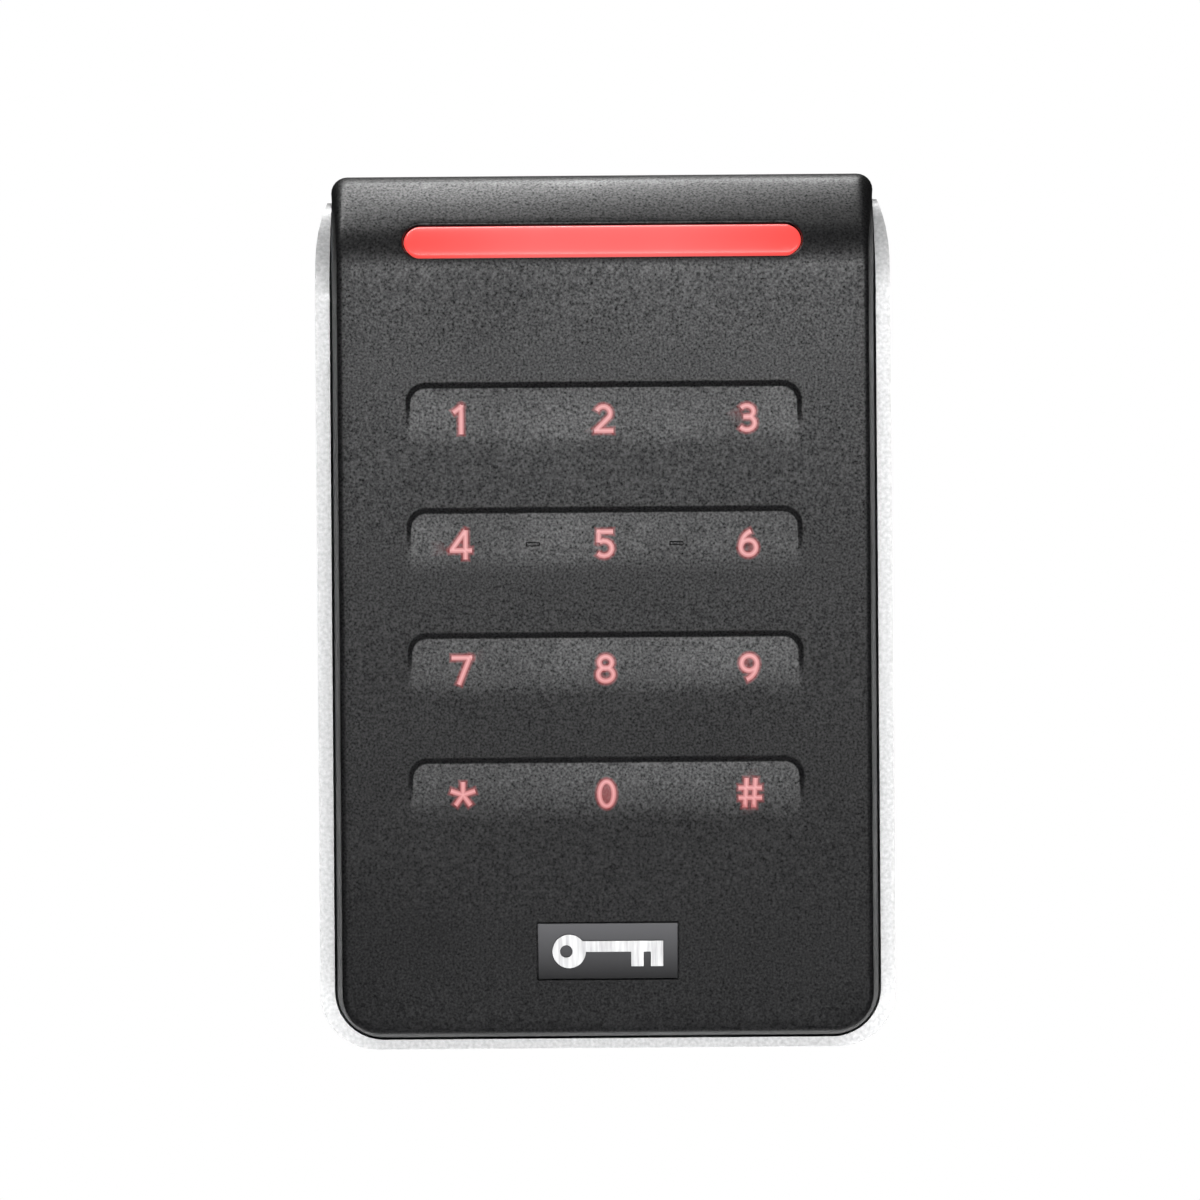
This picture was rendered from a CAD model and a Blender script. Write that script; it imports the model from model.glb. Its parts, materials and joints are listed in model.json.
import json
import math

import bmesh
import bpy
from mathutils import Matrix, Vector
from mathutils.geometry import delaunay_2d_cdt

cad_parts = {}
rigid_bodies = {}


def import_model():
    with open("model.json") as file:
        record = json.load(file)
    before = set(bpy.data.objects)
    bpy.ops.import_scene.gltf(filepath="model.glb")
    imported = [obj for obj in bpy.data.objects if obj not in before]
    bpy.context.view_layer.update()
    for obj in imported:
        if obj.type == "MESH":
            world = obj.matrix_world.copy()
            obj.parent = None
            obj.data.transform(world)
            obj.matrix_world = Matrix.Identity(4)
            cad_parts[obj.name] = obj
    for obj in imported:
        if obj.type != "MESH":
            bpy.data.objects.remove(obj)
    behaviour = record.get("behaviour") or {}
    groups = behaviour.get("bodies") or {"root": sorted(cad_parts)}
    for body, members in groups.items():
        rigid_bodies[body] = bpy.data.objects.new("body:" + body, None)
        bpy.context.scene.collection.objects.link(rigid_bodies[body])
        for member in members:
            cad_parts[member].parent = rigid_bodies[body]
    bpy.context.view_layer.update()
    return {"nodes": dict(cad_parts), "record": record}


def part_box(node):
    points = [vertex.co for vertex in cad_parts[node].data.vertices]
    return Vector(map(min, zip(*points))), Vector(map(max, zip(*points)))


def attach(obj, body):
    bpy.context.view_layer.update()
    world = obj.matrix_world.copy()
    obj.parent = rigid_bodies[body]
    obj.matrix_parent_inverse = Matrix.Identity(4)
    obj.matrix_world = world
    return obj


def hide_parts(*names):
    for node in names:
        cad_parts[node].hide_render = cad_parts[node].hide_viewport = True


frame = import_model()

# Everything is worked out in millimetres and written to the meshes in metres.
MM = 0.001


def box_mm(node):
    """Lowest and highest corner of a CAD node, in millimetres."""
    low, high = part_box(node)
    return low / MM, high / MM


# ------------------------------------------------------------------ sizes
# They are the CAD model's own, apart from the roundings, the glow and the grain, which it doesn't have, and
# those named as eased, which are drawn a little wider or softer than in it, so that they show.

COVER_LOW, COVER_HIGH = box_mm("front_cover")
COVER_HALF = COVER_HIGH.x
COVER_TOP = COVER_HIGH.z
COVER_BOTTOM = COVER_LOW.z
FRONT_Y = COVER_LOW.y
TOP_BACK_Y = COVER_HIGH.y
DRAFT_START_Y = box_mm("trim_frame")[0].y
BACK_Y = -3.0
SIDE_DRAFT = 1.2
FACE_TAPER = 1.3
FACE_BOTTOM = COVER_BOTTOM + SIDE_DRAFT
CORNER_R = 6.5
TOP_CORNER_R = 2.2
FACE_EDGE_R = 0.9
EDGE_STEPS = 6

# The three arcs that carry the face back over the top
BEND_Z = 46.4
BEND_R = 11.0
SLOPE_R = 40.0
SLOPE_ANGLE = 38.0
CROWN_ANGLE = 50.0

# Hollow behind the face. It narrows at a shelf, where SHELF_TOP and SHELF_SIDE_TOP are its heights, and
# its mesh has one more ring of points at MIDDLE_Y
WALL = 1.6
INNER_Y = -18.6
SHELF_Y = -13.0
SHELF_TOP = 57.1
SHELF_SIDE_TOP = 56.4
MIDDLE_Y = -8.5
CAVITY_HALF = 35.3
CAVITY_BOTTOM = COVER_BOTTOM + 1.7
CAVITY_CORNER_R = CORNER_R - 1.8
CAVITY_TOP_CORNER_R = 0.8
FRONT_CAVITY_HALF = 34.0
FRONT_CAVITY_BOTTOM = CAVITY_BOTTOM + 1.4
FRONT_CAVITY_TOP = 55.2
FRONT_CAVITY_CORNER_R = CORNER_R - 3
NOTCH_HALF = 6.3
NOTCH_Y = -10.3

# Key rows. The wall under each ledge and the scoop's slope are eased, and the legends a little shallower
LEGENDS = ["1", "2", "3", "4", "5", "6", "7", "8", "9", "star", "0", "hash"]
ROWS = range(4)
ROW_PITCH = 17.15
COLUMN_PITCH = 19.7
FIRST_LEDGE_Z = 31.5
SCOOP_HALF = 27.25
SCOOP_H = 8.2
SCOOP_CORNER_R = 2.8
LEDGE_DEPTH = 1.0
SCOOP_EASE = 1.4
LEDGE_WALL = 0.85
LEDGE_STEPS = (-0.4, -0.12, 0, 0.08, 0.2, 0.4, 0.6, 0.8, 0.92, 1, 1.12, 1.4)
LEGEND_DROP = 5.1
STROKE_W = 0.68
LEGEND_DEPTH = 0.35
LEGEND_PROUD = 0.015
LEGEND_HALF_W = 1.9
LEGEND_HALF_H = 2.0
HALO_W = 0.42
COVER_GRAIN = 0.2
TACTILE_X = 9.85
TACTILE_HALF_W = 0.95
TACTILE_HALF_H = 0.3
TACTILE_T = 0.3
TACTILE_WALL = 0.16
TACTILE_V = FIRST_LEDGE_Z - ROW_PITCH - LEGEND_DROP

# Light bar and badge, with eased grooves round them
BAR_LOW, BAR_HIGH = box_mm("light_bar")
BAR_HALF = BAR_HIGH.x
BAR_R = (BAR_HIGH.z - BAR_LOW.z) / 2
BAR_Z = (BAR_HIGH.z + BAR_LOW.z) / 2
BAR_BACK_Y = BAR_HIGH.y
SLOT_GAP = 0.2
BAR_SUNK = 0.1
BAR_RIM_R = 0.35
LIP_R = 0.3
RIM_STEPS = (0.03, 0.09, 0.18)
BADGE_HALF_W = box_mm("badge_plate")[1].x
BADGE_HALF_H = 3.8
BADGE_Z = -46.6
BADGE_GAP = 0.2
BADGE_SEAT = 0.5

# Further from any stroke than a point of the face can be
FAR = 99.0

# Studio: metres, degrees and watts. A lamp is a place, a target, a width, a height, a power and what it
# lights: gloss, matt surfaces or both. Top and key draw the highlights, and the others fill in the rest.
FILL = 0.03
FLOOR_Z = -0.7
FLOOR_R = 0.85
LENS = 145
CAMERA_PLACE = (-0.0007, -0.6834, 0.00155)
CAMERA_ROLL = -0.45
LAMPS = {
    "top": ((-0.08, 0.1, 0.45), (0, -0.01, 0.05), 0.4, 0.06, 2.75, "gloss"),
    "key": ((0.05, -0.46, 0.13), (0, -0.02, 0.0), 0.5, 0.05, 2.55, "both"),
    "low": ((0.0, -0.32, -0.22), (0, -0.01, -0.03), 0.3, 0.14, 2.5, "matt"),
    "left": ((-1.15, -0.4, 0.2), (0, 0, 0), 1.1, 1.2, 1.5, "matt"),
    "right": ((1.15, -0.4, 0.2), (0, 0, 0), 1.1, 1.2, 1.5, "matt"),
    "rear": ((0.3, 1.2, -0.3), (0, 0, 0), 1.0, 0.6, 26, "matt"),
}


def ledge_z(row):
    """Height of a row's ledge."""
    return FIRST_LEDGE_Z - row * ROW_PITCH


# ------------------------------------------------------------------ outlines

def arc(cx, cy, rx, ry, start, end, steps=10):
    """Points along an arc of an ellipse, in equal steps of angle, in degrees."""
    angles = [math.radians(start + (end - start) * i / steps) for i in range(steps + 1)]
    return [(cx + rx * math.cos(a), cy + ry * math.sin(a)) for a in angles]


def spread(low, high, step):
    """Evenly spaced numbers from low to high, both included, about step apart."""
    count = max(1, round(abs(high - low) / step))
    return [low + (high - low) * i / count for i in range(count + 1)]


def stadium(grow):
    """The light bar's outline in X and Z, grown by a distance."""
    r = BAR_R + grow
    reach = BAR_HALF - BAR_R
    straight = spread(-reach, reach, 1.0)[1:-1]
    return (
        [(x, BAR_Z - r) for x in straight]
        + arc(reach, BAR_Z, r, r, -90, 90, 28)
        + [(x, BAR_Z + r) for x in reversed(straight)]
        + arc(-reach, BAR_Z, r, r, 90, 270, 28)
    )


def rounded_box(half_w, half_h, r, cx, cy, steps=5):
    """A rectangle with round corners."""
    points = []
    for sx, sy, start in ((1, -1, -90), (1, 1, 0), (-1, 1, 90), (-1, -1, 180)):
        points += arc(cx + sx * (half_w - r), cy + sy * (half_h - r), r, r, start, start + 90, steps)
    return points


def across(points, i, half):
    """Half-width vector across a stroke at one of its points, mitred where it turns."""
    def side(a, b):
        d = Vector(b) - Vector(a)
        return Vector((-d.y, d.x)).normalized()

    first = min(max(i - 1, 0), len(points) - 2)
    second = min(i, len(points) - 2)
    before = side(points[first], points[first + 1])
    after = side(points[second], points[second + 1])
    mitre = (before + after).normalized()
    return mitre * half / mitre.dot(after)


def stroke_outline(points, width):
    """Outline of a stroke of even width along a line of points, anticlockwise."""
    left = [Vector(p) + across(points, i, width / 2) for i, p in enumerate(points)]
    right = [Vector(p) - across(points, i, width / 2) for i, p in enumerate(points)]
    return [tuple(p) for p in right] + [tuple(p) for p in reversed(left)]


def longer(points, distance):
    """A line of points, run on past both its ends."""
    first, last = Vector(points[0]), Vector(points[-1])
    first += (first - Vector(points[1])).normalized() * distance
    last += (last - Vector(points[-2])).normalized() * distance
    return [tuple(first)] + points[1:-1] + [tuple(last)]


def turned(points, degrees):
    """Points turned about the middle of a key."""
    c, s = math.cos(math.radians(degrees)), math.sin(math.radians(degrees))
    return [(x * c - y * s, x * s + y * c) for x, y in points]


def glyph_lines(name):
    """The lines that a legend is drawn along: open strokes, and ovals as (centre, radii)."""
    stem = arc(1, -0.64, 2.05, 2.35, 108, 176)
    if name == "0":
        return [], [(0, 0, 0.98, 1.67)]
    if name == "1":
        return [[(0.15, 2), (0.15, -2)], [(0.3, 1.86), (-0.9, 0.98)]], []
    if name == "2":
        bow = arc(-0.04, 0.74, 0.95, 0.93, 158, -32) + [(-0.98, -1.5)]
        return [bow, [(-1.3, -1.66), (1.32, -1.66)]], []
    if name == "3":
        upper = arc(-0.08, 0.86, 0.93, 0.8, 145, -90)
        lower = arc(-0.08, -0.73, 1.08, 0.93, 90, -145)
        return [upper, lower, [(-0.55, 0.12), (0, 0.12)]], []
    if name == "4":
        return [[(0.62, 1.95), (-1.3, -0.72)], [(-1.55, -0.76), (1.5, -0.76)], [(0.62, 2), (0.62, -2)]], []
    if name == "5":
        bow = arc(-0.1, -0.62, 1.1, 1.04, 122, -140)
        return [[(-1.05, 1.66), (1.15, 1.66)], [(-0.76, 1.9), (-0.86, 0.18)], bow], []
    if name == "6":
        return [stem], [(0, -0.64, 1.05, 1.02)]
    if name == "7":
        return [[(-1.42, 1.66), (1.4, 1.66)], [(1.14, 1.9), (-0.42, -2)]], []
    if name == "8":
        return [], [(0, 0.87, 0.86, 0.8), (0, -0.77, 1.04, 0.9)]
    if name == "9":
        return [turned(stem, 180)], [(0, 0.64, 1.05, 1.02)]
    if name == "star":
        return [turned([(-0.1, 0), (1.75, 0)], a) for a in range(90, 450, 72)], []
    bars = []
    for s in (-1, 1):
        bars.append([(0.6 * s + 0.15, 2), (0.6 * s - 0.15, -2)])
        bars.append([(-1.6, 0.68 * s), (1.6, 0.68 * s)])
    return bars, []


class Glyph:
    """One legend, placed on the keypad: its solid outlines, its counters and its centre lines."""

    def __init__(self, index):
        row, column = divmod(index, 3)
        self.name = LEGENDS[index]
        self.x = (column - 1) * COLUMN_PITCH
        self.v = ledge_z(row) - LEGEND_DROP
        strokes, ovals = glyph_lines(self.name)
        self.lines = [self.place(s) for s in strokes]
        self.lines += [self.place(arc(*o, 0, 360, 30)) for o in ovals]
        self.solids = [self.place(stroke_outline(s, STROKE_W)) for s in strokes]
        self.solids += [self.place(self.oval(o, 1)) for o in ovals]
        self.counters = [self.place(self.oval(o, -1)) for o in ovals]
        halo = STROKE_W + 2 * HALO_W
        self.halos = [self.place(stroke_outline(longer(s, HALO_W), halo)) for s in strokes]
        self.halos += [self.place(self.oval(o, halo / STROKE_W)) for o in ovals]

    def place(self, points):
        return [(self.x + px, self.v + py) for px, py in points]

    @staticmethod
    def oval(o, side):
        cx, cy, rx, ry = o
        grow = side * STROKE_W / 2
        return arc(cx, cy, rx + grow, ry + grow, 0, 348, 29)

    def distance(self, x, v):
        """Distance from a point to the nearest centre line."""
        point = Vector((x, v))
        best = FAR
        for line in self.lines:
            for a, b in zip(line, line[1:]):
                a, b = Vector(a), Vector(b)
                along = max(0.0, min(1.0, (point - a).dot(b - a) / (b - a).length_squared))
                best = min(best, (a + (b - a) * along - point).length)
        return best

    def near(self, x, v, margin):
        return abs(x - self.x) < LEGEND_HALF_W + margin and abs(v - self.v) < LEGEND_HALF_H + margin


GLYPHS = [Glyph(i) for i in range(len(LEGENDS))]


# ------------------------------------------------------------------ the cover's side profile

def from_angle(degrees, r):
    return Vector((r * math.cos(math.radians(degrees)), r * math.sin(math.radians(degrees))))


BEND_CENTRE = Vector((FRONT_Y + BEND_R, BEND_Z))
SLOPE_CENTRE = BEND_CENTRE + from_angle(180 - SLOPE_ANGLE, BEND_R - SLOPE_R)
CROWN_SINE = math.sin(math.radians(CROWN_ANGLE))
CROWN_R = (COVER_TOP - SLOPE_CENTRE.y - SLOPE_R * CROWN_SINE) / (1 - CROWN_SINE)
CROWN_CENTRE = SLOPE_CENTRE + from_angle(180 - CROWN_ANGLE, SLOPE_R - CROWN_R)
ARCS = [
    (BEND_CENTRE, BEND_R, 180.0, 180 - SLOPE_ANGLE),
    (SLOPE_CENTRE, SLOPE_R, 180 - SLOPE_ANGLE, 180 - CROWN_ANGLE),
    (CROWN_CENTRE, CROWN_R, 180 - CROWN_ANGLE, 90.0),
]
CREST_LENGTH = sum(r * math.radians(a - b) for _, r, a, b in ARCS)
V_END = BEND_Z + CREST_LENGTH + TOP_BACK_Y - CROWN_CENTRE.x
FACE_LEAN = math.atan(FACE_TAPER / (BEND_Z - FACE_BOTTOM))


def on_profile(v):
    """Point (y, z) and outward normal of the profile. v is the height up to the bend, and runs on
    along the profile beyond it."""
    if v <= BEND_Z:
        y = FRONT_Y + FACE_TAPER * (BEND_Z - v) / (BEND_Z - FACE_BOTTOM)
        return Vector((y, v)), Vector((-math.cos(FACE_LEAN), -math.sin(FACE_LEAN)))
    rest = v - BEND_Z
    for centre, r, start, end in ARCS:
        length = r * math.radians(start - end)
        if rest <= length:
            normal = from_angle(start - math.degrees(rest / r), 1)
            return centre + normal * r, normal
        rest -= length
    return Vector((CROWN_CENTRE.x + rest, COVER_TOP)), Vector((0, 1))


def lifted(x, v, h):
    """Point of the cover at a height h over its smooth surface."""
    point, normal = on_profile(v)
    return Vector((x, point.x + normal.x * h, point.y + normal.y * h))


PROFILE_STEPS = [(on_profile(v)[0].y, v) for v in spread(BEND_Z, BEND_Z + CREST_LENGTH, 0.05)]


def v_at(z):
    """The profile's v at a height, up to the crown."""
    if z <= BEND_Z:
        return z
    for (z0, v0), (z1, v1) in zip(PROFILE_STEPS, PROFILE_STEPS[1:]):
        if z <= z1:
            return v0 + (v1 - v0) * (z - z0) / (z1 - z0)
    return PROFILE_STEPS[-1][1]


def inner_y(z):
    """Depth of the hollow's front at a height."""
    y = INNER_Y
    for centre, r, start, end in ARCS:
        rise = (z - centre.y) / (r - WALL)
        low = math.sin(math.radians(180 - start)) if start < 180 else 0.0
        high = math.sin(math.radians(180 - end))
        if low <= rise <= high:
            y = centre.x - (r - WALL) * math.sqrt(1 - rise * rise)
    return max(INNER_Y, y)


# ------------------------------------------------------------------ the cover's relief

def ramp(t):
    """Smooth step from 0 to 1."""
    t = max(0.0, min(1.0, t))
    return t * t * (3 - 2 * t)


def inside_scoop(x, drop):
    """How far a point lies inside the outline of a scoop, which is open below."""
    a, b = SCOOP_HALF - abs(x), drop
    if a < SCOOP_CORNER_R and b < SCOOP_CORNER_R:
        return SCOOP_CORNER_R - math.hypot(SCOOP_CORNER_R - a, SCOOP_CORNER_R - b)
    return min(a, b)


def tactile_distance(x, v):
    """How far a point lies inside one of the two raised bars."""
    return min(TACTILE_HALF_W - abs(abs(x) - TACTILE_X), TACTILE_HALF_H - abs(v - TACTILE_V))


def stadium_distance(x, z):
    """How far a point lies outside the edge of the light bar's slot."""
    reach = BAR_HALF - BAR_R
    return math.hypot(max(abs(x) - reach, 0), z - BAR_Z) - BAR_R - SLOT_GAP


def relief(x, v):
    """Height of the cover over its smooth surface."""
    h = 0.0
    for row in ROWS:
        drop = ledge_z(row) - v
        if 0 < drop < SCOOP_H:
            depth = LEDGE_DEPTH * (1 - drop / SCOOP_H) ** SCOOP_EASE
            h -= depth * ramp(inside_scoop(x, drop) / LEDGE_WALL)
    h += TACTILE_T * ramp(tactile_distance(x, v) / TACTILE_WALL)
    if v > BEND_Z:
        d = stadium_distance(x, on_profile(v)[0].y)
        if d < LIP_R:
            h -= LIP_R - math.sqrt(max(0.0, LIP_R ** 2 - (LIP_R - max(d, 0.0)) ** 2))
    return h


def scoop_line(row, q):
    """Line at a distance q inside the outline of a scoop."""
    ledge = ledge_z(row)
    r = SCOOP_CORNER_R - q
    reach = SCOOP_HALF - SCOOP_CORNER_R
    low = ledge - SCOOP_H
    side = spread(low, ledge - SCOOP_CORNER_R, 0.6)[:-1]
    return (
        [(SCOOP_HALF - q, v) for v in side]
        + arc(reach, ledge - SCOOP_CORNER_R, r, r, 0, 90, 14)
        + [(x, ledge - q) for x in spread(reach, -reach, 1.2)[1:-1]]
        + arc(-reach, ledge - SCOOP_CORNER_R, r, r, 90, 180, 14)
        + [(q - SCOOP_HALF, v) for v in reversed(side)]
    )


# ------------------------------------------------------------------ meshes

def triangulate(loops, lines=(), points=()):
    """Triangles inside the first loop, each with the loops that it lies in."""
    coords, faces, edges = [], [], []
    for loop in loops:
        faces.append(list(range(len(coords), len(coords) + len(loop))))
        coords += loop
    for line in lines:
        edges += [(i, i + 1) for i in range(len(coords), len(coords) + len(line) - 1)]
        coords += line
    coords += points
    made = delaunay_2d_cdt([Vector(c) for c in coords], edges, faces, 1, 1e-6, True)
    inside = [(tuple(t), set(o)) for t, o in zip(made[2], made[5]) if 0 in o]
    return [tuple(v) for v in made[0]], inside


def rim_edges(triangles):
    """Edges with a triangle on one side only, each in its triangle's direction."""
    count = {}
    for t in triangles:
        for a, b in zip(t, t[1:] + t[:1]):
            count[frozenset((a, b))] = count.get(frozenset((a, b)), 0) + 1
    return [
        (a, b) for t in triangles for a, b in zip(t, t[1:] + t[:1]) if count[frozenset((a, b))] == 1
    ]


class Builder:
    """Collects faces given by their points and makes one closed mesh of them."""

    def __init__(self):
        self.points, self.values, self.faces = [], [], []

    def add(self, point, value=0.0):
        self.points.append(Vector(point) * MM)
        self.values.append(value)
        return len(self.points) - 1

    def face(self, *corners):
        self.faces.append(corners)

    def strip(self, columns, closed=True):
        """Quads between neighbouring columns of points."""
        ids = [[self.add(p) for p in column] for column in columns]
        pairs = list(zip(ids, ids[1:] + ids[:1])) if closed else list(zip(ids, ids[1:]))
        for left, right in pairs:
            for i in range(len(left) - 1):
                self.face(left[i], right[i], right[i + 1], left[i + 1])

    def make(self, name, material, value_name=None, sharp=35):
        mesh = bpy.data.meshes.new(name)
        bm = bmesh.new()
        layer = bm.verts.layers.float.new(value_name) if value_name else None
        verts = [bm.verts.new(p) for p in self.points]
        if layer:
            for vert, value in zip(verts, self.values):
                vert[layer] = value
        for corners in self.faces:
            bm.faces.new([verts[i] for i in corners])
        bmesh.ops.remove_doubles(bm, verts=bm.verts, dist=2e-6)
        bmesh.ops.dissolve_degenerate(bm, edges=bm.edges, dist=1e-7)
        bmesh.ops.recalc_face_normals(bm, faces=bm.faces)
        for face in bm.faces:
            face.smooth = True
        bm.to_mesh(mesh)
        bm.free()
        mesh.set_sharp_from_angle(angle=math.radians(sharp))
        mesh.materials.append(material)
        obj = bpy.data.objects.new(name, mesh)
        bpy.context.scene.collection.objects.link(obj)
        return obj


# ------------------------------------------------------------------ materials

class Paint:
    """A material whose nodes are written one call at a time. Textures use the object's own metres."""

    def __init__(self, name, color, roughness, metallic=0.0, **sockets):
        self.material = bpy.data.materials.new(name)
        self.material.use_nodes = True
        self.tree = self.material.node_tree
        self.bsdf = self.tree.nodes["Principled BSDF"]
        self.set("Base Color", (*color, 1))
        self.set("Roughness", roughness)
        self.set("Metallic", metallic)
        for key, value in sockets.items():
            self.set(key.replace("_", " "), value)
        self.place = self.tree.nodes.new("ShaderNodeTexCoord").outputs["Object"]
        self.normal = None

    def set(self, socket, value):
        self.bsdf.inputs[socket].default_value = value

    def node(self, kind, **links):
        made = self.tree.nodes.new(kind)
        for key, value in links.items():
            socket = made.inputs[key.replace("_", " ")]
            if isinstance(value, bpy.types.NodeSocket):
                self.tree.links.new(value, socket)
            else:
                socket.default_value = value
        return made

    def noise(self, size, detail=2.0, stretch=(1, 1, 1)):
        """Noise whose features are about size millimetres across, stretched along some axes."""
        place = self.node("ShaderNodeMapping", Vector=self.place, Scale=[1 / s for s in stretch])
        made = self.node("ShaderNodeTexNoise", Vector=place.outputs["Vector"], Scale=0.6 / (size * MM),
                         Detail=detail, Roughness=0.55)
        return made.outputs["Fac"]

    def spots(self, size):
        """Cells about size millimetres across."""
        made = self.node("ShaderNodeTexVoronoi", Vector=self.place, Scale=1 / (size * MM))
        return made.outputs["Distance"]

    def range(self, value, low, high, start=0.3, end=0.7):
        """A value moved from the range start to end into low to high."""
        made = self.node("ShaderNodeMapRange", Value=value, From_Min=start, From_Max=end, To_Min=low,
                         To_Max=high)
        return made.outputs["Result"]

    def blend(self, value, low, high, start=0.3, end=0.7):
        """A colour between two, by a value."""
        ramp_node = self.tree.nodes.new("ShaderNodeValToRGB")
        ramp_node.color_ramp.elements[0].position = start
        ramp_node.color_ramp.elements[0].color = (*low, 1)
        ramp_node.color_ramp.elements[1].position = end
        ramp_node.color_ramp.elements[1].color = (*high, 1)
        self.tree.links.new(value, ramp_node.inputs["Fac"])
        return ramp_node.outputs["Color"]

    def link(self, value, socket):
        self.tree.links.new(value, self.bsdf.inputs[socket])

    def bump(self, height, distance, strength=1.0):
        """Adds a relief of that many millimetres to the surface."""
        made = self.node("ShaderNodeBump", Height=height, Distance=distance * MM, Strength=strength)
        if self.normal:
            self.tree.links.new(self.normal, made.inputs["Normal"])
        self.normal = made.outputs["Normal"]
        self.tree.links.new(self.normal, self.bsdf.inputs["Normal"])


def moulded(name, dark, light, roughness, grain=0.42, relief_mm=0.012):
    """Plastic with a fine eroded grain and slightly uneven gloss."""
    paint = Paint(name, dark, roughness)
    fine = paint.noise(grain, 3.0)
    paint.link(paint.blend(fine, dark, light), "Base Color")
    paint.link(paint.range(paint.noise(14.0), roughness - 0.04, roughness + 0.05), "Roughness")
    paint.bump(fine, relief_mm)
    return paint


def metal(name, dark, light, roughness, stretch=(1, 1, 1), grain=0.3, relief_mm=0.004, metallic=1.0):
    """Metal with brushed or flecked variation."""
    paint = Paint(name, light, roughness, metallic)
    fine = paint.noise(grain, 3.0, stretch)
    paint.link(paint.blend(fine, dark, light), "Base Color")
    paint.link(paint.range(paint.noise(grain * 3, 2.0, stretch), roughness - 0.06, roughness + 0.08),
               "Roughness")
    paint.bump(fine, relief_mm)
    return paint


def cover_paint():
    """Black eroded plastic, faintly lit round the legends."""
    paint = moulded("cover_plastic", (0.001, 0.001, 0.0012), (0.008, 0.008, 0.0084), 0.42, 0.24, 0.012)
    paint.link(paint.range(paint.noise(COVER_GRAIN, 1.5), 0.0, 0.62, 0.22, 0.78), "Specular IOR Level")
    glow = paint.node("ShaderNodeAttribute")
    glow.attribute_name = "glow"
    lit = paint.blend(glow.outputs["Fac"], (0, 0, 0), (0.2, 0.02, 0.022), 0.0, 1.0)
    paint.link(lit, "Emission Color")
    paint.set("Emission Strength", 1.0)
    return paint


def legend_paint():
    """Translucent plastic lit from behind, palest along the middle of each stroke."""
    paint = Paint("legend_glow", (0.12, 0.03, 0.03), 0.4)
    core = paint.node("ShaderNodeAttribute")
    core.attribute_name = "core"
    lit = paint.blend(core.outputs["Fac"], (0.22, 0.035, 0.035), (0.44, 0.2, 0.2), 0.0, 1.0)
    paint.link(lit, "Emission Color")
    paint.set("Emission Strength", 1.0)
    paint.bump(paint.noise(0.5), 0.003)
    return paint


def bar_paint():
    """Translucent bar, lit from behind, redder towards its ends and rim."""
    paint = Paint("light_bar_red", (0.05, 0.003, 0.003), 0.38)
    where = paint.node("ShaderNodeSeparateXYZ", Vector=paint.place)
    off = paint.node("ShaderNodeMath", Value=where.outputs["X"])
    off.operation = "ABSOLUTE"
    lit = paint.blend(paint.range(off.outputs["Value"], 0.0, 1.0, 0.0, BAR_HALF * MM),
                      (0.93, 0.142, 0.138), (0.93, 0.078, 0.068), 0.35, 1.0)
    paint.link(lit, "Emission Color")
    paint.set("Emission Strength", 1.0)
    paint.link(paint.range(paint.noise(6.0), 0.34, 0.42), "Roughness")
    paint.bump(paint.noise(0.6), 0.003)
    return paint


def badge_paint():
    """Satin plate, brushed upright and printed darker towards its bottom."""
    paint = Paint("badge_plate", (0.06, 0.06, 0.064), 0.4)
    where = paint.node("ShaderNodeSeparateXYZ", Vector=paint.place)
    bottom, top = box_mm("badge_plate")[0].z, box_mm("badge_plate")[1].z
    rise = paint.range(where.outputs["Z"], 0.0, 1.0, bottom * MM, top * MM)
    paint.link(paint.blend(rise, (0.004, 0.004, 0.0045), (0.05, 0.05, 0.053), 0.0, 1.0), "Base Color")
    brushed = paint.noise(0.3, 2.0, (1, 1, 12))
    paint.link(paint.range(brushed, 0.4, 0.5), "Roughness")
    paint.set("Specular IOR Level", 0.3)
    paint.bump(brushed, 0.003)
    return paint


def board_paint():
    """Solder mask over copper traces."""
    paint = Paint("circuit_board", (0.01, 0.1, 0.045), 0.32, Coat_Weight=0.4, Coat_Roughness=0.15)
    traces = paint.spots(1.1)
    paint.link(paint.blend(traces, (0.007, 0.085, 0.037), (0.011, 0.115, 0.052), 0.3, 0.42), "Base Color")
    paint.bump(paint.range(traces, 0.0, 1.0, 0.4, 0.46), 0.02)
    return paint


def film_paint():
    """Clear film with fine printed lines."""
    paint = Paint("touch_film", (0.42, 0.3, 0.12), 0.25, Coat_Weight=0.5)
    lines = paint.noise(0.5, 1.0, (1, 1, 30))
    paint.link(paint.blend(lines, (0.36, 0.24, 0.08), (0.55, 0.42, 0.2), 0.45, 0.55), "Base Color")
    return paint


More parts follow.
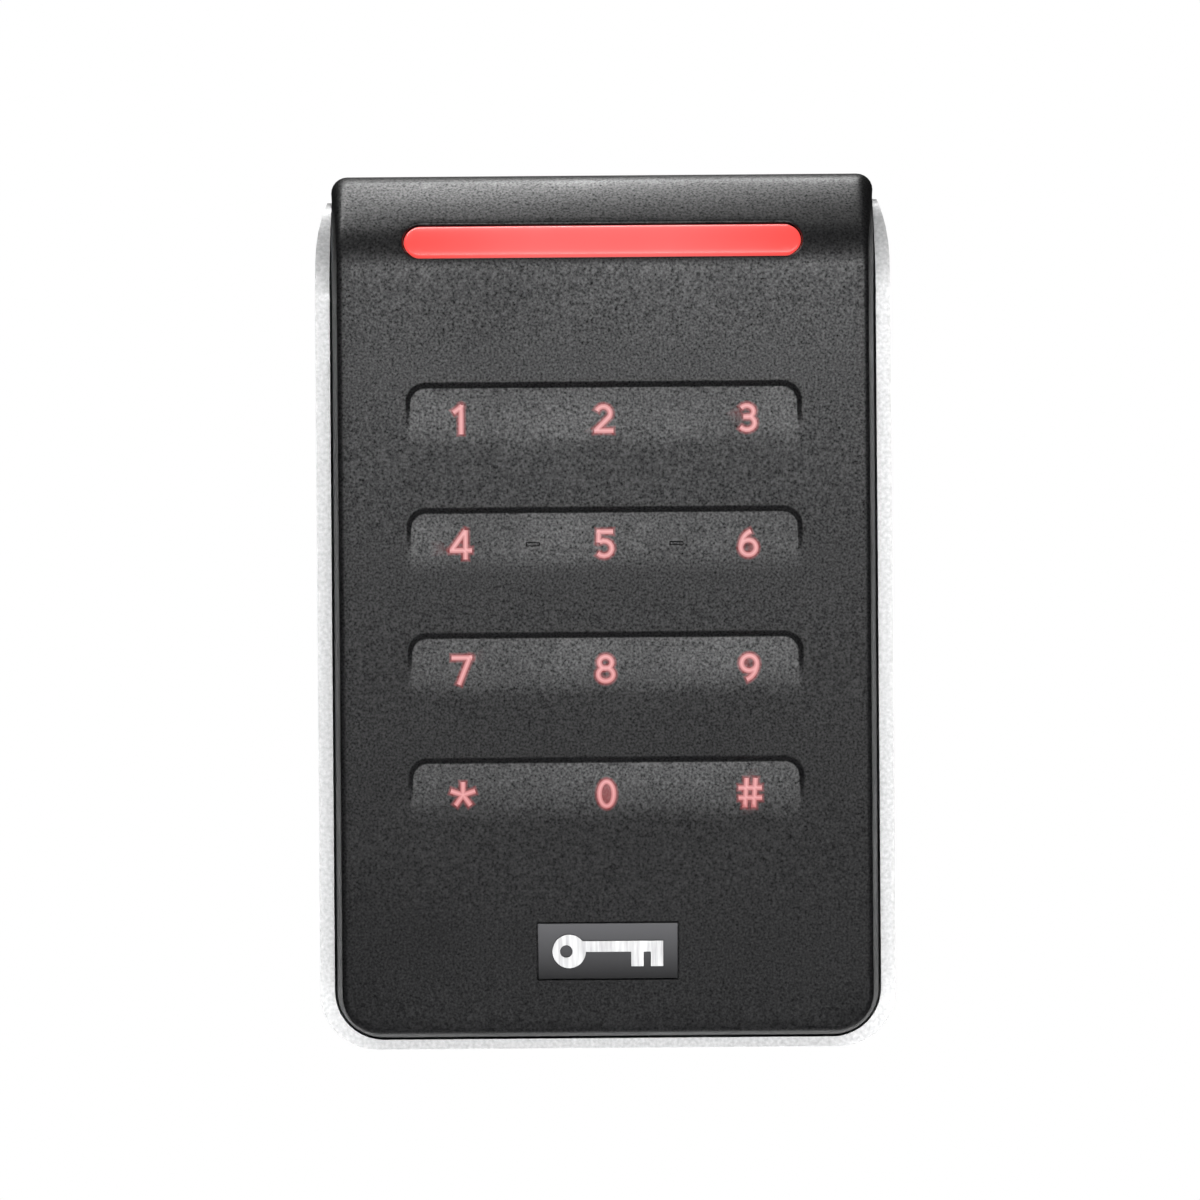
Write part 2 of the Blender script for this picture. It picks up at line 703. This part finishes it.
PAINTS = {
    "cover_plastic": cover_paint(),
    "legend_glow": legend_paint(),
    "light_bar": bar_paint(),
    "circuit_board": board_paint(),
    "touch_film": film_paint(),
    "silver_trim": metal("silver_trim", (0.36, 0.362, 0.365), (0.545, 0.547, 0.55), 0.42, metallic=0.1,
                         relief_mm=0.006),
    "plate_plastic": moulded("plate_plastic", (0.016, 0.016, 0.018), (0.034, 0.034, 0.037), 0.5),
    "housing_plastic": moulded("housing_plastic", (0.014, 0.014, 0.016), (0.03, 0.03, 0.033), 0.52),
    "sounder_plastic": moulded("sounder_plastic", (0.012, 0.012, 0.012), (0.025, 0.025, 0.025), 0.4),
    "chip": moulded("chip", (0.012, 0.012, 0.013), (0.022, 0.022, 0.023), 0.55, 0.2, 0.004),
    "ferrite": moulded("ferrite", (0.03, 0.03, 0.034), (0.07, 0.07, 0.075), 0.6, 0.3, 0.01),
    "gasket": moulded("gasket", (0.02, 0.02, 0.02), (0.05, 0.05, 0.05), 0.85, 0.5, 0.04),
    "terminal_plastic": moulded("terminal_plastic", (0.02, 0.2, 0.07), (0.035, 0.27, 0.1), 0.36, 0.6, 0.004),
    "connector_plastic": moulded("connector_plastic", (0.6, 0.56, 0.44), (0.72, 0.68, 0.55), 0.4, 0.5, 0.004),
    "white_plastic": moulded("white_plastic", (0.76, 0.76, 0.74), (0.86, 0.86, 0.84), 0.45, 0.5, 0.004),
    "led": moulded("led", (0.75, 0.7, 0.4), (0.9, 0.86, 0.55), 0.25, 0.6, 0.004),
    "clear_guide": moulded("clear_guide", (0.72, 0.74, 0.74), (0.82, 0.84, 0.84), 0.15, 2.0, 0.004),
    "badge_plate": badge_paint(),
    "badge_chrome": metal("badge_chrome", (0.28, 0.28, 0.284), (0.5, 0.5, 0.504), 0.45, (1, 1, 12), 0.3,
                          metallic=0.2),
    "brass": metal("brass", (0.62, 0.42, 0.14), (0.8, 0.6, 0.25), 0.25, (1, 1, 6)),
    "steel": metal("steel", (0.5, 0.5, 0.52), (0.68, 0.68, 0.7), 0.28, (6, 1, 1)),
    "shield_can": metal("shield_can", (0.6, 0.6, 0.59), (0.74, 0.74, 0.73), 0.34, (8, 1, 1)),
    "copper": metal("copper", (0.62, 0.28, 0.14), (0.8, 0.4, 0.22), 0.3, (3, 1, 3)),
}


# ------------------------------------------------------------------ the front cover

def half_at(v):
    """Half the cover's width where its face ends, at v."""
    if v <= BEND_Z:
        return COVER_HALF - SIDE_DRAFT
    y = on_profile(v)[0].x
    share = max(0.0, (DRAFT_START_Y - y) / (DRAFT_START_Y - FRONT_Y))
    return COVER_HALF - SIDE_DRAFT * share


def edge_r(v):
    """Radius of the edge between the face and the sides, which grows over the top."""
    return FACE_EDGE_R + (TOP_CORNER_R - FACE_EDGE_R) * ramp((v - BEND_Z) / CREST_LENGTH)


def back_y(z):
    """Depth of the cover's back edge at a height."""
    jog = COVER_TOP - 3.6
    return BACK_Y + (TOP_BACK_Y - BACK_Y) * max(0.0, min(1.0, z - jog))


def rounded_edge(x, v, dx, dv, r):
    """Points from the face over its rounded edge, in the outward direction (dx, dv)."""
    points = []
    for i in range(EDGE_STEPS + 1):
        t = math.radians(90 * i / EDGE_STEPS)
        points.append(lifted(x + dx * r * math.sin(t), v + dv * r * math.sin(t), r * math.cos(t) - r))
    return points


def low_column(cx, angle, notch):
    """Column of the bottom wall and its corners: from the face round the back edge into the hollow."""
    dx, dz = math.cos(math.radians(angle)), math.sin(math.radians(angle))
    corner_z = COVER_BOTTOM + CORNER_R
    reach = CORNER_R - SIDE_DRAFT - FACE_EDGE_R
    start = (cx + dx * reach, corner_z + dz * reach)
    share = cx / (COVER_HALF - CORNER_R)
    end_y = NOTCH_Y if notch else BACK_Y

    def ring(half, low, r, y):
        return Vector((share * (half - r) + dx * r, y, low + r + dz * r))

    column = rounded_edge(*start, dx, dz, FACE_EDGE_R)
    column += [ring(COVER_HALF, COVER_BOTTOM, CORNER_R, y) for y in (DRAFT_START_Y, end_y)]
    for y in (end_y, min(MIDDLE_Y, end_y - 0.2), SHELF_Y):
        column.append(ring(CAVITY_HALF, CAVITY_BOTTOM, CAVITY_CORNER_R, y))
    for y in (SHELF_Y, INNER_Y):
        column.append(ring(FRONT_CAVITY_HALF, FRONT_CAVITY_BOTTOM, FRONT_CAVITY_CORNER_R, y))
    return start, column


def side_column(v):
    """Column of the right side wall."""
    r = edge_r(v)
    start = (half_at(v) - r, v)
    column = rounded_edge(*start, 1, 0, r)
    low, high = COVER_BOTTOM + CORNER_R, COVER_TOP - TOP_CORNER_R
    z = v if v <= BEND_Z else BEND_Z + (high - BEND_Z) * (v - BEND_Z) / (V_END - BEND_Z)
    edge = Vector((COVER_HALF, back_y(z), z))
    last = column[-1]
    share = max(0.25, (DRAFT_START_Y - last.y) / (edge.y - last.y)) if edge.y > last.y + 0.01 else 0.5
    crease = last.lerp(edge, share)
    crease.x = COVER_HALF
    column += [crease, edge]

    def inner(half, new_low, new_high, y):
        return Vector((half, y, new_low + (new_high - new_low) * (z - low) / (high - low)))

    cavity_low = CAVITY_BOTTOM + CAVITY_CORNER_R
    cavity_high = COVER_TOP - WALL - CAVITY_TOP_CORNER_R
    column.append(inner(CAVITY_HALF, cavity_low, cavity_high, edge.y))
    column.append(inner(CAVITY_HALF, cavity_low, cavity_high, MIDDLE_Y))
    column.append(inner(CAVITY_HALF, cavity_low, SHELF_SIDE_TOP, SHELF_Y))
    front_low = FRONT_CAVITY_BOTTOM + FRONT_CAVITY_CORNER_R
    front_high = FRONT_CAVITY_TOP - CAVITY_TOP_CORNER_R
    front = inner(FRONT_CAVITY_HALF, front_low, front_high, SHELF_Y)
    column += [front, Vector((front.x, inner_y(front.z), front.z))]
    return start, column


def top_column(x):
    """Column of the top wall's back edge, where the face itself runs out."""
    reach = COVER_HALF - TOP_CORNER_R
    edge = lifted(x, V_END, 0)
    inner_top = COVER_TOP - WALL
    cavity_x = x * (CAVITY_HALF - CAVITY_TOP_CORNER_R) / reach
    front_x = x * (FRONT_CAVITY_HALF - CAVITY_TOP_CORNER_R) / reach
    # A side wall's rounded edge, crease and back edge all meet here
    column = [edge] * (EDGE_STEPS + 3)
    column += [Vector((cavity_x, TOP_BACK_Y, inner_top)), Vector((cavity_x, MIDDLE_Y, inner_top))]
    column += [Vector((cavity_x, SHELF_Y, SHELF_TOP)), Vector((front_x, SHELF_Y, FRONT_CAVITY_TOP))]
    column.append(Vector((front_x, inner_y(FRONT_CAVITY_TOP), FRONT_CAVITY_TOP)))
    return (x, V_END), column


def mirrored(entry):
    (x, v), column = entry
    return (-x, v), [Vector((-p.x, p.y, p.z)) for p in column]


def cover_columns():
    """All columns round the cover, anticlockwise as seen from the front."""
    straight = COVER_HALF - CORNER_R
    half = [low_column(x, -90, True) for x in spread(0, NOTCH_HALF, 2.1)[1:]]
    half += [low_column(x, -90, False) for x in spread(NOTCH_HALF + 0.03, straight, 2.0)[:-1]]
    half += [low_column(straight, a, False) for a in spread(-90, 0, 7.5)]
    half += [side_column(v) for v in spread(COVER_BOTTOM + CORNER_R, BEND_Z, 2.0)[1:]]
    half += [side_column(v) for v in spread(BEND_Z, V_END, 0.6)[1:]]
    half += [top_column(x) for x in spread(COVER_HALF - TOP_CORNER_R, 0, 2.0)[1:-1]]
    return [low_column(0, -90, True)] + half + [top_column(0)] + [mirrored(e) for e in reversed(half)]


def face_points(outline_half):
    """Points that fill the face between its features."""
    levels = spread(FACE_BOTTOM, BEND_Z, 2.4) + spread(BEND_Z, V_END, 0.55)[1:]
    points = []
    for v in levels:
        for x in spread(-36, 36, 1.5):
            if clear_of_features(x, v, outline_half):
                points.append((x, v))
    return points


def clear_of_features(x, v, outline_half):
    """Whether a filling point keeps its distance from every line of the relief."""
    if abs(x) > half_at(v) - edge_r(v) - 0.7 or not FACE_BOTTOM + 2 < v < V_END - 0.4:
        return False
    if v < COVER_BOTTOM + CORNER_R and abs(x) > outline_half:
        return False
    if any(g.near(x, v, 0.9) for g in GLYPHS) or tactile_distance(x, v) > -0.5:
        return False
    for row in ROWS:
        drop = ledge_z(row) - v
        if -0.5 < drop < SCOOP_H + 0.5 and -0.5 < inside_scoop(x, max(drop, -0.5)) < LEDGE_WALL + 0.5:
            return False
        if abs(drop - SCOOP_H) < 0.4 and abs(x) < SCOOP_HALF + 0.5:
            return False
    if v > BEND_Z - 2 and stadium_distance(x, on_profile(v)[0].y) < LIP_R + 0.35:
        return False
    return not (abs(x) < BADGE_HALF_W + 0.6 and abs(v - BADGE_Z) < BADGE_HALF_H + 0.6)


def cover_lines():
    """The lines that the face's mesh follows: the slot's lip, the scoops, the raised bars and the halos."""
    lines = [closed([(x, v_at(z)) for x, z in stadium(SLOT_GAP + d)]) for d in (*RIM_STEPS, LIP_R)]
    for row in ROWS:
        lines += [scoop_line(row, q * LEDGE_WALL) for q in LEDGE_STEPS]
        foot = ledge_z(row) - SCOOP_H
        lines.append([(x, foot) for x in spread(-SCOOP_HALF, SCOOP_HALF, 1.5)])
    for s in (-1, 1):
        for d in (0, 0.05, 0.1, TACTILE_WALL):
            bar = rounded_box(TACTILE_HALF_W - d, TACTILE_HALF_H - d, 0.02, s * TACTILE_X, TACTILE_V, 1)
            lines.append(closed(bar))
    for g in GLYPHS:
        lines += [closed(h) for h in g.halos] + g.lines
    return lines


def build_cover():
    """The hollow cover. Its face is a flat sheet of triangles, lifted by the relief and closed behind."""
    columns = cover_columns()
    outline = [start for start, _ in columns]
    slot = [(x, v_at(z)) for x, z in stadium(SLOT_GAP)]
    badge = rounded_box(BADGE_HALF_W + BADGE_GAP, BADGE_HALF_H + BADGE_GAP, 0.3, 0, BADGE_Z)
    loops = [outline, slot, badge]
    solid_ids, counter_ids = {}, {}
    for g in GLYPHS:
        solid_ids[g.name] = set(range(len(loops), len(loops) + len(g.solids)))
        loops += g.solids
        counter_ids[g.name] = set(range(len(loops), len(loops) + len(g.counters)))
        loops += g.counters
    flat, triangles = triangulate(loops, cover_lines(), face_points(COVER_HALF - CORNER_R))

    builder = Builder()

    def glow(x, v):
        """How strongly the legends light a point of the face."""
        near = [g for g in GLYPHS if g.near(x, v, 1.0)]
        d = min((g.distance(x, v) for g in near), default=FAR)
        return max(0.0, 1 - max(0.0, d - STROKE_W / 2) / HALO_W) ** 1.5

    heights = [relief(x, v) for x, v in flat]
    top = [builder.add(lifted(x, v, h), glow(x, v)) for (x, v), h in zip(flat, heights)]

    def legend_at(triangle, owners):
        """Name of the legend whose strokes hold a triangle, if there is one."""
        for g in GLYPHS:
            in_counter = counter_ids[g.name] & owners and off_strokes(g, flat, triangle)
            if solid_ids[g.name] & owners and not in_counter:
                return g.name
        return None

    def sink(region, depth):
        """Lowers a region of the face and walls it in."""
        floor = {}
        for i in {i for t in region for i in t}:
            floor[i] = builder.add(lifted(*flat[i], heights[i] - depth))
        for t in region:
            builder.face(*[floor[i] for i in t])
        for a, b in rim_edges(region):
            builder.face(top[a], top[b], floor[b], floor[a])

    glyph_regions = {g.name: [] for g in GLYPHS}
    slot_region, badge_region = [], []
    for t, owners in triangles:
        name = legend_at(t, owners)
        if 1 in owners:
            slot_region.append(t)
        elif 2 in owners:
            badge_region.append(t)
        elif name:
            glyph_regions[name].append(t)
        else:
            builder.face(*[top[i] for i in t])
    for region in glyph_regions.values():
        sink(region, LEGEND_DEPTH)
    sink(badge_region, BADGE_SEAT + 0.02)
    for a, b in rim_edges(slot_region):
        back = []
        for i in (a, b):
            z = on_profile(flat[i][1])[0].y
            back.append(builder.add(Vector((flat[i][0], inner_y(z), z))))
        builder.face(top[a], top[b], back[1], back[0])

    builder.strip([column for _, column in columns])
    inner_outline = [(column[-1].x, column[-1].z) for _, column in columns]
    slot_heights = [(x, on_profile(v)[0].y) for x, v in slot]
    filling = [(x, z) for x in spread(-30, 30, 3) for z in spread(51.2, 54.6, 0.6)
               if stadium_distance(x, z) > 0.3]
    inner_flat, inner_triangles = triangulate([inner_outline, slot_heights], (), filling)
    inner = [builder.add(Vector((x, inner_y(z), z))) for x, z in inner_flat]
    for t, owners in inner_triangles:
        if 1 not in owners:
            builder.face(*[inner[i] for i in t])
    cover = builder.make("front_cover_shell", PAINTS["cover_plastic"].material, "glow")
    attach(cover, "reader")
    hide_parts("front_cover")
    return flat, heights, glyph_regions


def closed(points):
    return points + points[:1]


def off_strokes(g, flat, triangle):
    """Whether the middle of a triangle lies on none of a legend's strokes."""
    x = sum(flat[i][0] for i in triangle) / 3
    v = sum(flat[i][1] for i in triangle) / 3
    return g.distance(x, v) > STROKE_W / 2


# ------------------------------------------------------------------ legends and light bar

def prism(builder, triangles, top, floor):
    """Closes a patch of triangles into a solid, by two sets of its points."""
    for t in triangles:
        builder.face(*[top[i] for i in t])
        builder.face(*[floor[i] for i in reversed(t)])
    for a, b in rim_edges(triangles):
        builder.face(top[a], floor[a], floor[b], top[b])


def build_legends(flat, heights, regions):
    """The translucent inlays, standing a hair proud of the face."""
    for g in GLYPHS:
        builder = Builder()
        top, floor = {}, {}
        for i in {i for t in regions[g.name] for i in t}:
            x, v = flat[i]
            core = max(0.0, 1 - g.distance(x, v) / (STROKE_W / 2))
            top[i] = builder.add(lifted(x, v, heights[i] + LEGEND_PROUD), core)
            floor[i] = builder.add(lifted(x, v, heights[i] - LEGEND_DEPTH + 0.02), 0)
        prism(builder, regions[g.name], top, floor)
        piece = builder.make("legend_inlay_" + g.name, PAINTS["legend_glow"].material, "core", 60)
        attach(piece, "reader")
        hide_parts("legend_" + g.name)


def build_light_bar():
    """The bar follows the bend, a little below the face, with a rounded rim."""
    def surface(x, z):
        d = -SLOT_GAP - stadium_distance(x, z)
        fall = BAR_RIM_R - math.sqrt(max(0.0, BAR_RIM_R ** 2 - max(0.0, BAR_RIM_R - d) ** 2))
        return -BAR_SUNK - fall

    rings = [closed([(x, v_at(z)) for x, z in stadium(-d)]) for d in (*RIM_STEPS, BAR_RIM_R)]
    filling = [
        (x, v_at(z)) for x in spread(-26, 26, 1.5) for z in spread(BAR_Z - BAR_R, BAR_Z + BAR_R, 0.45)
        if stadium_distance(x, z) < -BAR_RIM_R - 0.4
    ]
    points, triangles = triangulate([[(x, v_at(z)) for x, z in stadium(0)]], rings, filling)
    builder = Builder()
    top, floor = {}, {}
    for i, (x, v) in enumerate(points):
        z = on_profile(v)[0].y
        top[i] = builder.add(lifted(x, v, surface(x, z)))
        floor[i] = builder.add(Vector((x, BAR_BACK_Y, z)))
    prism(builder, [t for t, _ in triangles], top, floor)
    piece = builder.make("light_bar_lens", PAINTS["light_bar"].material, None, 50)
    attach(piece, "reader")
    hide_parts("light_bar")


# ------------------------------------------------------------------ finish of the CAD nodes

def soften(obj, width):
    """Rounds a CAD node's edges by a width in millimetres."""
    weld = obj.modifiers.new("Weld", "WELD")
    weld.merge_threshold = 1e-6
    bevel = obj.modifiers.new("Edges", "BEVEL")
    bevel.width = width * MM
    bevel.segments = 3
    bevel.limit_method = "ANGLE"
    bevel.angle_limit = math.radians(40)
    bevel.use_clamp_overlap = True
    normals = obj.modifiers.new("Normals", "WEIGHTED_NORMAL")
    normals.keep_sharp = True


EDGE_WIDTHS = {
    "trim_frame": 0.3, "mounting_plate": 0.25, "rear_housing": 0.2, "badge_plate": 0.12,
    "badge_emblem": 0.06, "security_screw": 0.1, "screw_washer": 0.08, "pivot_bar": 0.25,
    "lock_insert": 0.08, "housing_screws": 0.12, "terminal_block_left": 0.15,
    "terminal_block_right": 0.15, "terminal_screws": 0.06, "terminal_clamps": 0.04,
    "wireless_module": 0.08, "power_inductor": 0.15, "capacitors": 0.15, "sounder": 0.2,
    "processor_chip": 0.03, "radio_chip": 0.03, "secure_chip": 0.03, "crystal": 0.1,
    "film_connector": 0.08, "keypad_light_box": 0.1, "main_board": 0.05, "light_guide": 0.1,
    "tamper_sensor": 0.08, "housing_gasket": 0.15, "key_leds": 0.08, "bar_leds": 0.08,
    "resistors": 0.04,
}


def finish_cad_nodes():
    """Gives each CAD node its slot's material and soft edges."""
    slots = {s["node"]: s["material_slot"] for s in frame["record"]["subparts"]}
    for node, obj in frame["nodes"].items():
        paint = PAINTS[slots[node]]
        for slot in obj.material_slots:
            slot.material = paint.material
        for polygon in obj.data.polygons:
            polygon.use_smooth = node != "badge_emblem"
        if node in EDGE_WIDTHS:
            soften(obj, EDGE_WIDTHS[node])


# ------------------------------------------------------------------ studio

def softbox(name, place, target, width, height, power, lights):
    """A rectangular light that faces a target, and lights gloss, matt surfaces or both."""
    light = bpy.data.lights.new(name, "AREA")
    light.shape = "RECTANGLE"
    light.size, light.size_y = width, height
    light.energy = power
    obj = bpy.data.objects.new(name, light)
    obj.location = place
    obj.rotation_mode = "QUATERNION"
    obj.rotation_quaternion = (Vector(target) - Vector(place)).to_track_quat("-Z", "Y")
    obj.visible_camera = False
    obj.visible_glossy = lights != "matt"
    obj.visible_diffuse = lights != "gloss"
    bpy.context.scene.collection.objects.link(obj)


def build_world():
    """White behind the object, and a dimmer even fill for everything that is lit by it."""
    world = bpy.data.worlds.new("studio")
    bpy.context.scene.world = world
    world.use_nodes = True
    tree = world.node_tree
    tree.nodes.clear()
    fill = tree.nodes.new("ShaderNodeBackground")
    fill.inputs["Strength"].default_value = FILL
    backdrop = tree.nodes.new("ShaderNodeBackground")
    backdrop.inputs["Strength"].default_value = 1.0
    for background in (fill, backdrop):
        background.inputs["Color"].default_value = (1, 1, 1, 1)
    path = tree.nodes.new("ShaderNodeLightPath")
    mix = tree.nodes.new("ShaderNodeMixShader")
    output = tree.nodes.new("ShaderNodeOutputWorld")
    tree.links.new(path.outputs["Is Camera Ray"], mix.inputs["Fac"])
    tree.links.new(fill.outputs["Background"], mix.inputs[1])
    tree.links.new(backdrop.outputs["Background"], mix.inputs[2])
    tree.links.new(mix.outputs["Shader"], output.inputs["Surface"])


def build_floor():
    """A plain pale floor, well below the wall-mounted reader."""
    mesh = bpy.data.meshes.new("floor")
    bm = bmesh.new()
    bmesh.ops.create_circle(bm, cap_ends=True, segments=96, radius=FLOOR_R)
    bm.to_mesh(mesh)
    bm.free()
    paint = Paint("floor_paint", (0.86, 0.86, 0.86), 0.8)
    paint.link(paint.blend(paint.noise(40.0), (0.85, 0.85, 0.85), (0.87, 0.87, 0.87)), "Base Color")
    mesh.materials.append(paint.material)
    floor = bpy.data.objects.new("floor", mesh)
    floor.location = (0, 0, FLOOR_Z)
    bpy.context.scene.collection.objects.link(floor)


def build_camera():
    """Straight in front of the reader, a hair off level."""
    data = bpy.data.cameras.new("camera")
    data.sensor_width = 36
    data.lens = LENS
    data.clip_start = 0.01
    camera = bpy.data.objects.new("camera", data)
    level = Matrix.Rotation(math.radians(90), 4, "X")
    roll = Matrix.Rotation(math.radians(CAMERA_ROLL), 4, "Z")
    camera.matrix_world = Matrix.Translation(CAMERA_PLACE) @ level @ roll
    bpy.context.scene.collection.objects.link(camera)
    bpy.context.scene.camera = camera


# ------------------------------------------------------------------ the scene

for leftover in [o for o in bpy.data.objects if o.name in ("Cube", "Light", "Camera")]:
    bpy.data.objects.remove(leftover)

flat, heights, glyph_regions = build_cover()
build_legends(flat, heights, glyph_regions)
build_light_bar()
finish_cad_nodes()

build_world()
build_floor()
build_camera()
for name, lamp in LAMPS.items():
    softbox(name, *lamp)
bpy.context.scene.view_settings.view_transform = "Standard"
